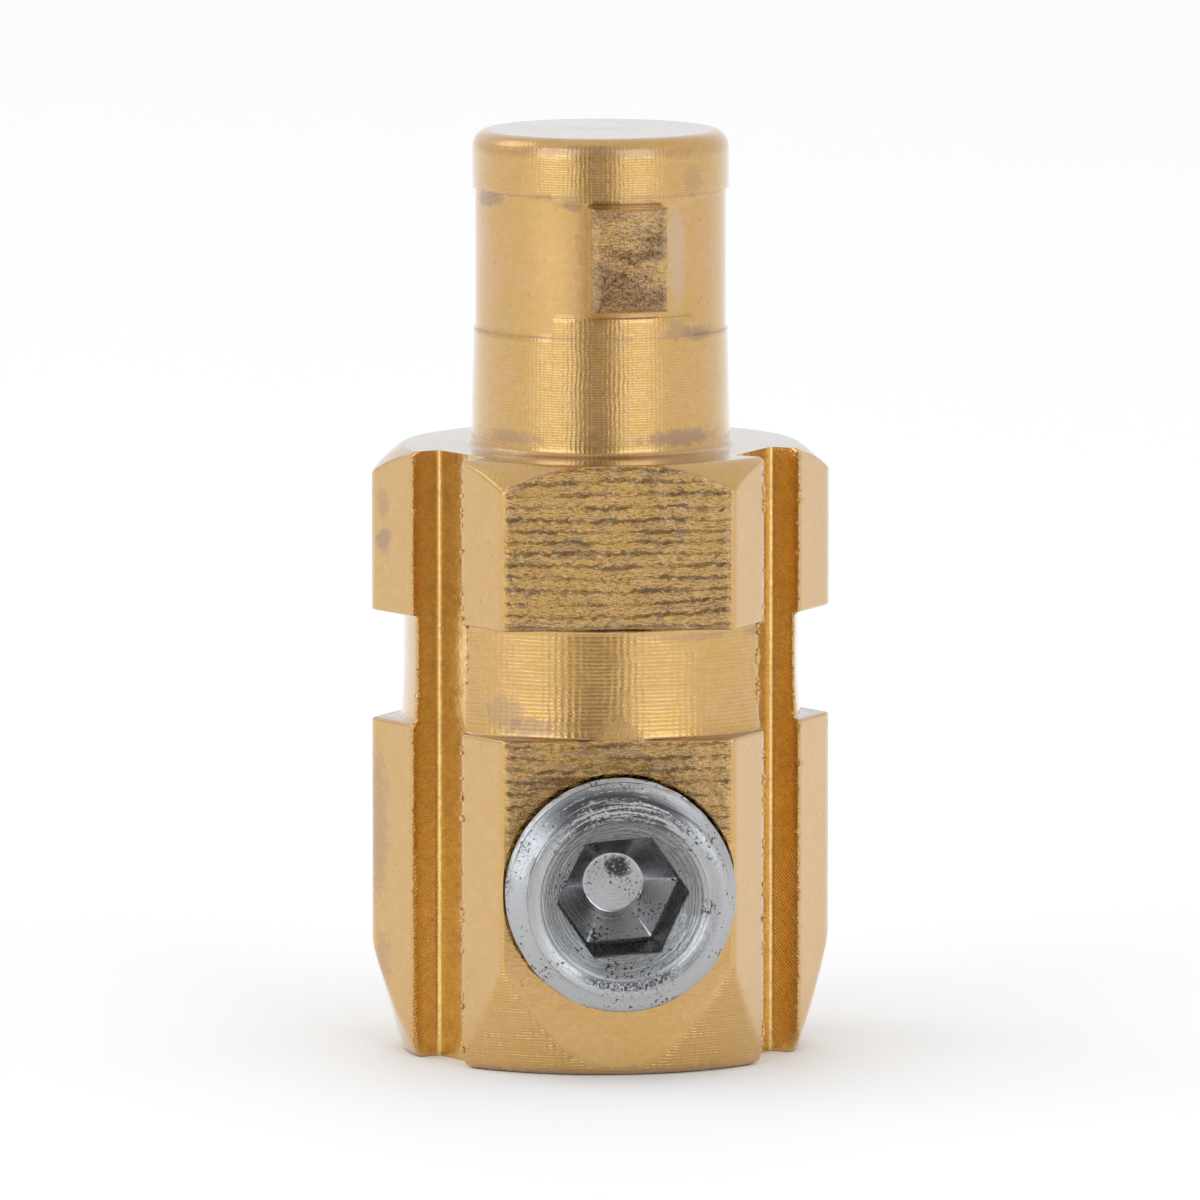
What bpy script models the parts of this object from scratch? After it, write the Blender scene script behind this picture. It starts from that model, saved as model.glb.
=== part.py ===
"""Male contact insert of a twist-lock cable plug, with its clamping screw.

One brass piece, turned and milled from hexagon bar, carries the contact spigot with its
bayonet key, the hexagon body and the blind cable bore. One steel set screw in a cross
hole clamps the cable. The origin is the middle of the spigot's tip face, with +Z pointing
out of it, into the socket that the plug goes to. The screw looks along -Y. Heights below
are counted up from the bottom face, where the empty named bottom_centre stands.
"""

import math

import bmesh
import bpy
from mathutils import Matrix, Vector

MM = 0.001

# ---------------------------------------------------------------- driving sizes, in millimetres
ACROSS_FLATS = 14.0  # hexagon bar
BODY_HEIGHT = 21.4  # bottom face to the shoulder
SPIGOT_HEIGHT = 11.1  # shoulder to the tip
SPIGOT_RADIUS = 4.5

BASE_CONE_ANGLE = 16.0  # degrees from the axis; the long cone starts level with the flats
SHOULDER_INSET = 0.03  # top end of the shoulder chamfer, in from the flats
SHOULDER_DROP = 0.95  # height that the chamfer loses out to the corners

WAIST_INSET = 0.05  # turned relief round the middle of the body, in from the flats
WAIST_LOW = 11.8
WAIST_HEIGHT = 3.8

SLOT_WIDTH = 3.0  # keyways along the body, for the ribs of the insulating sleeve
SLOT_DEPTH = 1.13
SLOT_DIRECTIONS = (-150.0, -30.0, 90.0)  # degrees from +X, each on the middle of a flat

ROOT_FILLET = 0.3  # where the spigot meets the shoulder
TIP_ROUND_OUT = 0.55  # tip rounding, measured along the radius
TIP_ROUND_DOWN = 0.7  # and along the axis

NECK_RELIEF = 0.1  # depth of the shallow relief round the spigot
NECK_BELOW_TIP = 2.03
NECK_LENGTH = 4.94
NECK_STEP_TOP = 0.24  # beside the key the relief is this much shorter at its top
NECK_STEP_BOTTOM = 0.72  # and at its bottom
NECK_STEP_HALF_ANGLE = 34.0

KEY_DIRECTION = -83.2  # degrees from +X
KEY_WIDTH = 2.7
KEY_REACH = 0.8  # how far it stands out past the spigot
KEY_LENGTH = 3.65
KEY_BELOW_TIP = 2.35
KEY_ROUND = 0.25

BORE_RADIUS = 4.2  # blind hole for the stripped cable
BORE_DEPTH = 15.0
BORE_MOUTH = 0.5  # chamfer at its mouth
DRILL_POINT_ANGLE = 59.0  # half the angle of the drill's point

SCREW_RADIUS = 4.0
SCREW_LENGTH = 8.0
SCREW_HEIGHT = 6.5  # its axis above the bottom face
SCREW_STANDS_OUT = 2.45  # its face past the hexagon's flat
SCREW_FACE_CHAMFER = 0.6
SCREW_TIP_CHAMFER = 0.7
SCREW_HOLE_PAST_AXIS = 0.3  # how far past the spigot's axis the cross hole is drilled
THREAD_CLEARANCE = 0.06  # radial, between the plain cylinders that stand for the threads

KEY_SOCKET_FLATS = 4.0  # hexagon socket across flats
KEY_SOCKET_DEPTH = 4.2
KEY_SOCKET_TURN = 4.5  # degrees, how the socket happens to stand
KEY_SOCKET_LEAD = 0.45  # countersink at the socket's mouth, past its corners

# ---------------------------------------------------------------- sizes that follow
FLAT_DISTANCE = ACROSS_FLATS / 2
CORNER_RADIUS = FLAT_DISTANCE / math.cos(math.radians(30))
STOCK_RADIUS = CORNER_RADIUS + 0.5  # round stock that the hexagon is cut from
BASE_RADIUS = FLAT_DISTANCE
SHOULDER_RADIUS = FLAT_DISTANCE - SHOULDER_INSET
WAIST_RADIUS = FLAT_DISTANCE - WAIST_INSET
BASE_CONE_TOP = (STOCK_RADIUS - BASE_RADIUS) / math.tan(math.radians(BASE_CONE_ANGLE))
SHOULDER_SLOPE = SHOULDER_DROP / (CORNER_RADIUS - SHOULDER_RADIUS)
SHOULDER_LOW = BODY_HEIGHT - SHOULDER_SLOPE * (STOCK_RADIUS - SHOULDER_RADIUS)
TIP_HEIGHT = BODY_HEIGHT + SPIGOT_HEIGHT
NECK_TOP = TIP_HEIGHT - NECK_BELOW_TIP
KEY_TOP = TIP_HEIGHT - KEY_BELOW_TIP
FACE_DISTANCE = FLAT_DISTANCE + SCREW_STANDS_OUT
OVERRUN = 1.0  # how far a cutter runs past the face that it opens

ROUND_STEPS = 72
SCREW_STEPS = 48
ARC_STEPS = 6


def clear_scene():
    for thing in list(bpy.data.objects):
        bpy.data.objects.remove(thing, do_unlink=True)


def metal(name, colour, roughness):
    made = bpy.data.materials.new(name)
    made.use_nodes = True
    shader = made.node_tree.nodes["Principled BSDF"]
    shader.inputs["Base Color"].default_value = (*colour, 1.0)
    shader.inputs["Metallic"].default_value = 1.0
    shader.inputs["Roughness"].default_value = roughness
    return made


def empty(name, place, parent=None):
    """A frame to hang objects on; its place is in millimetres."""
    made = bpy.data.objects.new(name, None)
    made.parent = parent
    made.matrix_local = place
    made.location *= MM
    bpy.context.scene.collection.objects.link(made)
    return made


def object_from(name, bm, parent, place=None):
    """The bmesh, drawn in millimetres, as an object in metres that hangs on that empty."""
    if place is not None:
        bmesh.ops.transform(bm, matrix=place, verts=bm.verts)
    bmesh.ops.scale(bm, vec=Vector((MM, MM, MM)), verts=bm.verts)
    bmesh.ops.recalc_face_normals(bm, faces=bm.faces)
    mesh = bpy.data.meshes.new(name)
    bm.to_mesh(mesh)
    bm.free()
    made = bpy.data.objects.new(name, mesh)
    made.parent = parent
    bpy.context.scene.collection.objects.link(made)
    return made


def turned(profile, steps):
    """A solid of revolution about Z. The profile runs from the axis, (0, z), back to the axis."""
    bm = bmesh.new()
    ends = (bm.verts.new((0, 0, profile[0][1])), bm.verts.new((0, 0, profile[-1][1])))
    rings = []
    for radius, height in profile[1:-1]:
        ring = []
        for i in range(steps):
            angle = 2 * math.pi * i / steps
            ring.append(bm.verts.new((radius * math.cos(angle), radius * math.sin(angle), height)))
        rings.append(ring)
    for i in range(steps):
        after = (i + 1) % steps
        bm.faces.new((ends[0], rings[0][after], rings[0][i]))
        for low, high in zip(rings, rings[1:]):
            bm.faces.new((low[i], low[after], high[after], high[i]))
        bm.faces.new((rings[-1][i], rings[-1][after], ends[1]))
    return bm


def prism(outline, low, high):
    """A closed outline in XY, drawn up from one height to another."""
    bm = bmesh.new()
    base = bm.faces.new([bm.verts.new((x, y, low)) for x, y in outline])
    raised = bmesh.ops.extrude_face_region(bm, geom=[base])
    top = [part for part in raised["geom"] if isinstance(part, bmesh.types.BMVert)]
    bmesh.ops.translate(bm, vec=(0, 0, high - low), verts=top)
    return bm


def hexagon(across_flats, first_corner):
    """Six corners, the first at that angle in degrees."""
    radius = across_flats / 2 / math.cos(math.radians(30))
    angles = [math.radians(first_corner + 60 * i) for i in range(6)]
    return [(radius * math.cos(a), radius * math.sin(a)) for a in angles]


def arc(centre, across, up, start, end):
    """Points on an elliptical arc; angles in degrees."""
    angles = [math.radians(start + (end - start) * i / ARC_STEPS) for i in range(ARC_STEPS + 1)]
    return [(centre[0] + across * math.cos(a), centre[1] + up * math.sin(a)) for a in angles]


def facing(degrees):
    """Turns what is drawn looking along +X to look along that direction."""
    return Matrix.Rotation(math.radians(degrees), 4, "Z")


def combine(target, tool, operation):
    tool.hide_render = True
    tool.display_type = "WIRE"
    change = target.modifiers.new(tool.name, "BOOLEAN")
    change.operation = operation
    change.solver = "EXACT"
    change.object = tool


def shade_smooth(thing, sharp_over):
    thing.data.shade_smooth()
    thing.data.set_sharp_from_angle(angle=math.radians(sharp_over))


# ---------------------------------------------------------------- the brass contact body
def lathe_profile():
    """Everything that is turned on the outside, bottom to top."""
    foot = [(0, 0), (BASE_RADIUS, 0), (STOCK_RADIUS, BASE_CONE_TOP)]
    waist_top = WAIST_LOW + WAIST_HEIGHT
    waist = [
        (STOCK_RADIUS, WAIST_LOW),
        (WAIST_RADIUS, WAIST_LOW),
        (WAIST_RADIUS, waist_top),
        (STOCK_RADIUS, waist_top),
    ]
    shoulder = [(STOCK_RADIUS, SHOULDER_LOW), (SHOULDER_RADIUS, BODY_HEIGHT)]
    root = arc(
        (SPIGOT_RADIUS + ROOT_FILLET, BODY_HEIGHT + ROOT_FILLET), ROOT_FILLET, ROOT_FILLET, 270, 180
    )
    tip = arc(
        (SPIGOT_RADIUS - TIP_ROUND_OUT, TIP_HEIGHT - TIP_ROUND_DOWN),
        TIP_ROUND_OUT,
        TIP_ROUND_DOWN,
        0,
        90,
    )
    return foot + waist + shoulder + root + tip + [(0, TIP_HEIGHT)]


def relief_cutter(bottom, name, low, high, start, sweep):
    """A band round the spigot, cut in to the neck's radius over that sweep of degrees."""
    inner = SPIGOT_RADIUS - NECK_RELIEF
    outer = SPIGOT_RADIUS + OVERRUN
    steps = max(1, round(ROUND_STEPS * sweep / 360))
    angles = [math.radians(start + sweep * i / steps) for i in range(steps + 1)]
    inside = [(inner * math.cos(a), inner * math.sin(a)) for a in angles]
    outside = [(outer * math.cos(a), outer * math.sin(a)) for a in angles]
    return object_from(name, prism(inside + outside[::-1], low, high), bottom)


def bayonet_key(bottom):
    """The key that locks under the socket's lip: parallel sides and a turned outer face."""
    reach = SPIGOT_RADIUS + KEY_REACH
    half = KEY_WIDTH / 2
    spread = math.degrees(math.asin((half - KEY_ROUND) / reach))
    face = arc((0, 0), reach, reach, -spread, spread)
    root = SPIGOT_RADIUS / 2
    outline = [(root, -half), (reach - 2 * KEY_ROUND, -half)] + face
    outline += [(reach - 2 * KEY_ROUND, half), (root, half)]
    blank = prism(outline, KEY_TOP - KEY_LENGTH, KEY_TOP)
    return object_from("key_blank", blank, bottom, facing(KEY_DIRECTION))


def slot_cutter(bottom, number, direction):
    """One keyway, cut along the whole body and clear of the spigot."""
    floor = FLAT_DISTANCE - SLOT_DEPTH
    half = SLOT_WIDTH / 2
    outer = STOCK_RADIUS + OVERRUN
    outline = [(floor, -half), (outer, -half), (outer, half), (floor, half)]
    blank = prism(outline, -OVERRUN, BODY_HEIGHT + OVERRUN)
    return object_from(f"slot_cutter_{number}", blank, bottom, facing(direction))


def bore_cutter(bottom):
    point = BORE_DEPTH + BORE_RADIUS / math.tan(math.radians(DRILL_POINT_ANGLE))
    mouth = BORE_RADIUS + BORE_MOUTH
    profile = [
        (0, -OVERRUN),
        (mouth, -OVERRUN),
        (mouth, 0),
        (BORE_RADIUS, BORE_MOUTH),
        (BORE_RADIUS, BORE_DEPTH),
        (0, point),
    ]
    return object_from("bore_cutter", turned(profile, ROUND_STEPS), bottom)


def across_the_body(distance):
    """Stands a shape drawn along +Z at the screw's height, looking along -Y from that distance."""
    turn = Matrix.Rotation(math.radians(90), 4, "X")
    return Matrix.Translation((0, -distance, SCREW_HEIGHT)) @ turn


def screw_hole_cutter(bottom):
    radius = SCREW_RADIUS + THREAD_CLEARANCE
    deep = -SCREW_HOLE_PAST_AXIS
    out = FLAT_DISTANCE + OVERRUN
    profile = [(0, deep), (radius, deep), (radius, out), (0, out)]
    blank = turned(profile, SCREW_STEPS)
    return object_from("screw_hole_cutter", blank, bottom, across_the_body(0))


def make_contact_body(bottom):
    body = object_from("contact_body", turned(lathe_profile(), ROUND_STEPS), bottom)
    bar = prism(hexagon(ACROSS_FLATS, 0), -OVERRUN, TIP_HEIGHT + OVERRUN)
    combine(body, object_from("hexagon_bar", bar, bottom), "INTERSECT")

    step_start = KEY_DIRECTION - NECK_STEP_HALF_ANGLE
    step_sweep = 2 * NECK_STEP_HALF_ANGLE
    low = NECK_TOP - NECK_LENGTH
    step_low = low + NECK_STEP_BOTTOM
    step_high = NECK_TOP - NECK_STEP_TOP
    beside = relief_cutter(bottom, "relief_beside_key", step_low, step_high, step_start, step_sweep)
    around = relief_cutter(
        bottom, "relief_around", low, NECK_TOP, step_start + step_sweep, 360 - step_sweep
    )
    combine(body, beside, "DIFFERENCE")
    combine(body, around, "DIFFERENCE")
    combine(body, bayonet_key(bottom), "UNION")

    for number, direction in enumerate(SLOT_DIRECTIONS, 1):
        combine(body, slot_cutter(bottom, number, direction), "DIFFERENCE")
    combine(body, bore_cutter(bottom), "DIFFERENCE")
    combine(body, screw_hole_cutter(bottom), "DIFFERENCE")
    body.data.materials.append(metal("turned_brass", (0.62, 0.38, 0.16), 0.3))
    shade_smooth(body, 30)


# ---------------------------------------------------------------- the steel clamping screw
def make_clamp_screw(bottom):
    """Drawn with its outer face at height 0 and its tip below, then hung on its axis."""
    axis = empty("screw_axis", across_the_body(FACE_DISTANCE), bottom)
    tip = -SCREW_LENGTH
    profile = [
        (0, tip),
        (SCREW_RADIUS - SCREW_TIP_CHAMFER, tip),
        (SCREW_RADIUS, tip + SCREW_TIP_CHAMFER),
        (SCREW_RADIUS, -SCREW_FACE_CHAMFER),
        (SCREW_RADIUS - SCREW_FACE_CHAMFER, 0),
        (0, 0),
    ]
    screw = object_from("clamp_screw", turned(profile, SCREW_STEPS), axis)

    corner = KEY_SOCKET_FLATS / 2 / math.cos(math.radians(30))
    lead = corner + KEY_SOCKET_LEAD
    socket = prism(hexagon(KEY_SOCKET_FLATS, KEY_SOCKET_TURN), -KEY_SOCKET_DEPTH, OVERRUN)
    mouth = turned([(0, -lead), (lead + OVERRUN, OVERRUN), (0, OVERRUN)], SCREW_STEPS)
    combine(screw, object_from("socket_cutter", socket, axis), "DIFFERENCE")
    combine(screw, object_from("socket_countersink", mouth, axis), "DIFFERENCE")
    screw.data.materials.append(metal("plated_steel", (0.55, 0.55, 0.56), 0.35))
    shade_smooth(screw, 30)


clear_scene()
bottom_centre = empty("bottom_centre", Matrix.Translation((0, 0, -TIP_HEIGHT)))
make_contact_body(bottom_centre)
make_clamp_screw(bottom_centre)
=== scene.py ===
"""Looks of the twist-lock plug contact: a turned and milled brass insert and its steel set screw.

Lengths are in millimetres while a shape is worked out, with heights counted up from the
insert's bottom face; meshes are written in metres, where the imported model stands.
"""

import math

import bmesh
import bpy
import numpy as np
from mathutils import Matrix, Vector


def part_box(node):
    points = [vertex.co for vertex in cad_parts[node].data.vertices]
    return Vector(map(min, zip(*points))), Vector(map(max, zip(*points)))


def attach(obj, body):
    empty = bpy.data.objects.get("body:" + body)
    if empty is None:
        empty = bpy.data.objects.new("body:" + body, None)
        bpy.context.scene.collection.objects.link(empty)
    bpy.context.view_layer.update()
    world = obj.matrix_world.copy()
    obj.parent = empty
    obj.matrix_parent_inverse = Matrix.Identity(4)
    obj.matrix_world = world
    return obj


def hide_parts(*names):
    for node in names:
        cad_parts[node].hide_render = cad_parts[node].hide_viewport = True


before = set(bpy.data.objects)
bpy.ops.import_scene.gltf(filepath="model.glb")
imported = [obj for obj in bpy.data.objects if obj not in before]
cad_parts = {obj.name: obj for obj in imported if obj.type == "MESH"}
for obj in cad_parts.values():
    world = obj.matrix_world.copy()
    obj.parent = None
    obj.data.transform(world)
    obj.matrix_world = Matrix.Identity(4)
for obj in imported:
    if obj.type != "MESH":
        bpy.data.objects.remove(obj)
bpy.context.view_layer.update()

MM = 0.001


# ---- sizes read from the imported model
insert_low, insert_high = (Vector(c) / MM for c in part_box("contact_body"))
screw_low, screw_high = (Vector(c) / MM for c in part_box("clamp_screw"))
BOTTOM = insert_low.z
HEIGHT = insert_high.z - insert_low.z
FLAT = insert_high.y  # the hexagon's flats from its axis
CORNER = insert_high.x
SCREW_R = screw_high.x
SCREW_FACE = -screw_low.y
SCREW_TIP = -screw_high.y
SCREW_Z = (screw_low.z + screw_high.z) / 2 - BOTTOM

# ---- the insert's own sizes
BODY_TOP = 21.4
CONE_SLOPE = math.tan(math.radians(16))
SHOULDER_INSET = 0.03
SHOULDER_DROP = 0.95
WAIST_LOW, WAIST_TOP, WAIST_R = 11.8, 15.6, FLAT - 0.05
SLOT_HALF, SLOT_FLOOR = 1.5, FLAT - 1.13
BORE_R, BORE_DEPTH, BORE_MOUTH, DRILL_HALF_ANGLE = 4.2, 15.0, 0.5, math.radians(59)
LEVEL_R = 5.3  # a ring of points on the level faces, clear of the bore, the spigot and the edge
EDGE = 0.10  # how far the hexagon's edges are broken

PITCH, THREAD_DEPTH, THREAD_FADE = 1.25, 0.61, 0.3
HOLE_CLEARANCE = 0.055


# ---- mesh helpers
def smooth_min(a, b, width):
    """The lower of two surfaces, their meeting edge rounded over about that width."""
    near = np.clip(1 - np.abs(a - b) / width, 0, None)
    return np.minimum(a, b) - near * near * width / 4


def even(low, high, count):
    """Points from one value up to, and not including, the other."""
    return list(np.linspace(low, high, count, endpoint=False))


def linked(name, mesh):
    made = bpy.data.objects.new(name, mesh)
    bpy.context.scene.collection.objects.link(made)
    return made


def skin_mesh(name, rings):
    """A closed surface from rings of points, its first and last ring drawn in to single points.

    rings has the shape (rings, points round, 3), in millimetres.
    """
    count, around = rings.shape[:2]
    verts = np.concatenate([rings.reshape(-1, 3), rings[0].mean(0)[None], rings[-1].mean(0)[None]])
    i, j = np.meshgrid(np.arange(count - 1), np.arange(around), indexing="ij")
    after = (j + 1) % around
    quads = np.stack(
        [i * around + j, i * around + after, (i + 1) * around + after, (i + 1) * around + j], -1
    ).reshape(-1, 4)
    k = np.arange(around)
    foot, head = count * around, count * around + 1
    foot_fan = np.stack([np.full(around, foot), (k + 1) % around, k], -1)
    top = (count - 1) * around
    head_fan = np.stack([np.full(around, head), top + k, top + (k + 1) % around], -1)
    mesh = bpy.data.meshes.new(name)
    mesh.from_pydata((verts * MM).tolist(), [], quads.tolist() + foot_fan.tolist() + head_fan.tolist())
    return linked(name, mesh)


def face_outwards(thing):
    bm = bmesh.new()
    bm.from_mesh(thing.data)
    bmesh.ops.remove_doubles(bm, verts=bm.verts, dist=1e-7)
    bmesh.ops.recalc_face_normals(bm, faces=bm.faces)
    bm.to_mesh(thing.data)
    bm.free()


def shade(thing, sharp_over):
    thing.data.shade_smooth()
    thing.data.set_sharp_from_angle(angle=math.radians(sharp_over))


# ---- node helpers
class Tree:
    """Short calls for building a node tree."""

    def __init__(self, tree):
        self.tree = tree

    def put(self, value, socket):
        if isinstance(value, bpy.types.Node):
            value = value.outputs[0]
        if isinstance(value, bpy.types.NodeSocket):
            self.tree.links.new(value, socket)
        else:
            socket.default_value = value

    def add(self, kind, inputs=None, **settings):
        """A node; inputs gives the value, or what feeds it, for each input's name or number."""
        node = self.tree.nodes.new(kind)
        for key, value in settings.items():
            setattr(node, key, value)
        for key, value in (inputs or {}).items():
            self.put(value, node.inputs[key])
        return node

    def math(self, operation, *values):
        return self.add("ShaderNodeMath", dict(enumerate(values)), operation=operation).outputs[0]

    def times(self, first, *others):
        for other in others:
            first = self.math("MULTIPLY", first, other)
        return first

    def plus(self, a, b):
        return self.math("ADD", a, b)

    def less(self, a, b):
        return self.math("SUBTRACT", a, b)

    def larger(self, a, b):
        return self.math("MAXIMUM", a, b)

    def times_plus(self, a, b, c):
        return self.math("MULTIPLY_ADD", a, b, c)

    def distance(self, value, middle):
        return self.math("ABSOLUTE", self.less(value, middle))

    def vector(self, operation, *values):
        node = self.add("ShaderNodeVectorMath", dict(enumerate(values)), operation=operation)
        return node.outputs["Value" if operation in ("LENGTH", "DOT_PRODUCT") else "Vector"]

    def scaled(self, vector, scale):
        given = {0: vector, "Scale": scale}
        return self.add("ShaderNodeVectorMath", given, operation="SCALE").outputs["Vector"]

    def split(self, vector):
        return self.add("ShaderNodeSeparateXYZ", {0: vector}).outputs

    def join(self, *values):
        return self.add("ShaderNodeCombineXYZ", dict(enumerate(values))).outputs[0]

    def noise(self, vector, scale, detail=2.0, roughness=0.5):
        """Noise from 0 to 1; a scale of three numbers stretches it."""
        if isinstance(scale, tuple):
            vector, scale = self.vector("MULTIPLY", vector, scale), 1.0
        given = {"Vector": vector, "Scale": scale, "Detail": detail, "Roughness": roughness}
        return self.add("ShaderNodeTexNoise", given).outputs["Fac"]

    def span(self, value, low, high, new_low=0.0, new_high=1.0, way="SMOOTHSTEP"):
        """The value's stretch from low to high, spread over the new one and held at its ends."""
        given = {"Value": value, "From Min": low, "From Max": high, "To Min": new_low, "To Max": new_high}
        return self.add("ShaderNodeMapRange", given, interpolation_type=way).outputs[0]

    def moved(self, geometry, way, to):
        return self.add("GeometryNodeSetPosition", {"Geometry": geometry, way: to})

    def finished(self, geometry):
        """Ends a geometry tree: real geometry, in the piece's own material."""
        real = self.add("GeometryNodeRealizeInstances", {0: geometry})
        dressed = self.add("GeometryNodeSetMaterial", {"Geometry": real, "Material": self.inputs["Material"]})
        self.put(dressed, self.end["Geometry"])
        return self.tree

    def blend(self, factor, a, b):
        """Mix of two colours."""
        return self.add("ShaderNodeMix", {0: factor, 6: a, 7: b}, data_type="RGBA").outputs[2]

    def over(self, colour, tint, *factors):
        """A tint laid over a colour, as strongly as the product of the factors."""
        return self.blend(self.times(*factors), colour, tint)

    def group(self, tree, **values):
        return self.add(tree.bl_idname.replace("Tree", "Group"), values, node_tree=tree).outputs


def group_tree(name, kind, inputs, outputs):
    """A node group with named sockets; each is a name and a type."""
    tree = bpy.data.node_groups.new(name, kind)
    for in_out, sockets in (("INPUT", inputs), ("OUTPUT", outputs)):
        for label, data in sockets:
            tree.interface.new_socket(label, in_out=in_out, socket_type="NodeSocket" + data)
    made = Tree(tree)
    made.inputs = made.add("NodeGroupInput").outputs
    made.end = made.add("NodeGroupOutput").inputs
    return made


def shader_group(name, inputs, outputs, kind="ShaderNodeTree"):
    """A group that takes the position and more inputs, and gives numbers."""
    return group_tree(name, kind, [("Position", "Vector"), *inputs], [(each, "Float") for each in outputs])


def geometry_tree(name, numbers):
    """A tree that takes a mesh, these numbers and a material, and gives a mesh."""
    mesh = ("Geometry", "Geometry")
    sockets = [mesh, *((number, "Float") for number in numbers), ("Material", "Material")]
    return group_tree(name, "GeometryNodeTree", sockets, [mesh])


def run_nodes(thing, tree, values):
    """Runs a geometry tree on an object, and leaves its result as the object's plain mesh."""
    modifier = thing.modifiers.new(tree.name, "NODES")
    modifier.node_group = tree
    for item in tree.interface.items_tree:
        if item.item_type == "SOCKET" and item.in_out == "INPUT" and item.name in values:
            modifier[item.identifier] = values[item.name]
    evaluated = thing.evaluated_get(bpy.context.evaluated_depsgraph_get())
    mesh = bpy.data.meshes.new_from_object(evaluated)
    thing.modifiers.remove(modifier)
    if thing.type == "MESH":
        thing.data = mesh
        return thing
    made = linked(thing.name + "_mesh", mesh)
    bpy.data.objects.remove(thing)
    return made


# ---- the hexagon body's shape
def hexagon_radius(angle):
    """The bar's outline with its corners lightly broken; the angle is from the nearest flat's middle."""
    next_flat = np.radians(60) - np.abs(angle)
    return smooth_min(FLAT / np.cos(angle), FLAT / np.cos(next_flat), EDGE)


def fan(count, low, high):
    return np.radians(np.linspace(low, high, count, endpoint=False))


def rim_points(angle, radius_of, height_of):
    r = radius_of(angle)
    return np.stack([r * np.sin(angle), r * np.cos(angle), height_of(angle)], -1)


def plain_sector(columns):
    """Columns across one flat, a little denser at its corners."""
    crowding = math.pi / 2 * 0.96
    t = np.linspace(-1, 1, columns, endpoint=False)
    angle = np.radians(30) * np.sin(t * crowding) / math.sin(crowding)
    angle[0] = -np.radians(30)
    return lambda radius_of, height_of: rim_points(angle, radius_of, height_of), angle


def slotted_sector(columns):
    """Columns across a flat with its keyway: skin, broken lip, wall, rounded root and floor."""
    lip, root = 0.06, 0.16
    skin_t = np.linspace(0, 1, columns, endpoint=False)
    half_fan = np.concatenate([
        fan(6, 0, 15.5), fan(4, 15.5, 16.5), fan(5, 16.5, 18.2), fan(2, 18.2, 18.8), fan(columns, 18.8, 30),
    ])

    def half(radius_of, height_of):
        edge = SLOT_HALF + lip
        start = 0.22
        for _ in range(6):
            start = float(np.arcsin(edge / radius_of(np.array([start]))[0]))
        angle = start + (np.radians(30) - start) * skin_t
        r = radius_of(angle)
        x, y = r * np.sin(angle), r * np.cos(angle)
        top = y[0]
        turn = np.radians([90, 45])
        lip_x = edge - lip * np.sin(turn)
        lip_y = top - lip * (1 - np.cos(turn))
        down = np.linspace(SLOT_FLOOR + root, top - lip, 6)[1:-1]
        bend = np.radians([90, 60, 30, 0])
        root_x = SLOT_HALF - root + root * np.cos(bend)
        root_y = SLOT_FLOOR + root - root * np.sin(bend)
        floor_x = np.linspace(0, SLOT_HALF - root, 7)[:-1]
        xs = np.concatenate([floor_x, root_x, [SLOT_HALF], down * 0 + SLOT_HALF, lip_x, x])
        ys = np.concatenate([floor_x * 0 + SLOT_FLOOR, root_y, [SLOT_FLOOR + root + 0.02], down, lip_y, y])
        return np.stack([xs, ys, height_of(np.arctan2(xs, ys))], -1)

    def points(radius_of, height_of):
        right = half(radius_of, height_of)
        left = right[1:][::-1] * (-1, 1, 1)
        corner = rim_points(np.array([-np.radians(30)]), radius_of, height_of)
        return np.concatenate([corner, left, right])

    angles = np.concatenate([[-np.radians(30)], -half_fan[1:][::-1], half_fan])
    return points, angles


SLOT_SIDES, FRONT = (-150, -30, 90), -90
SLOT_COLUMNS, PLAIN_COLUMNS, FRONT_COLUMNS = 14, 36, 66


def body_sectors():
    made = []
    for direction in range(FRONT, FRONT + 360, 60):
        facing = (direction + 180) % 360 - 180
        if facing in SLOT_SIDES:
            sector = slotted_sector(SLOT_COLUMNS)
        else:
            sector = plain_sector(FRONT_COLUMNS if facing == FRONT else PLAIN_COLUMNS)
        made.append((math.radians(direction), *sector))
    return made


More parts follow.
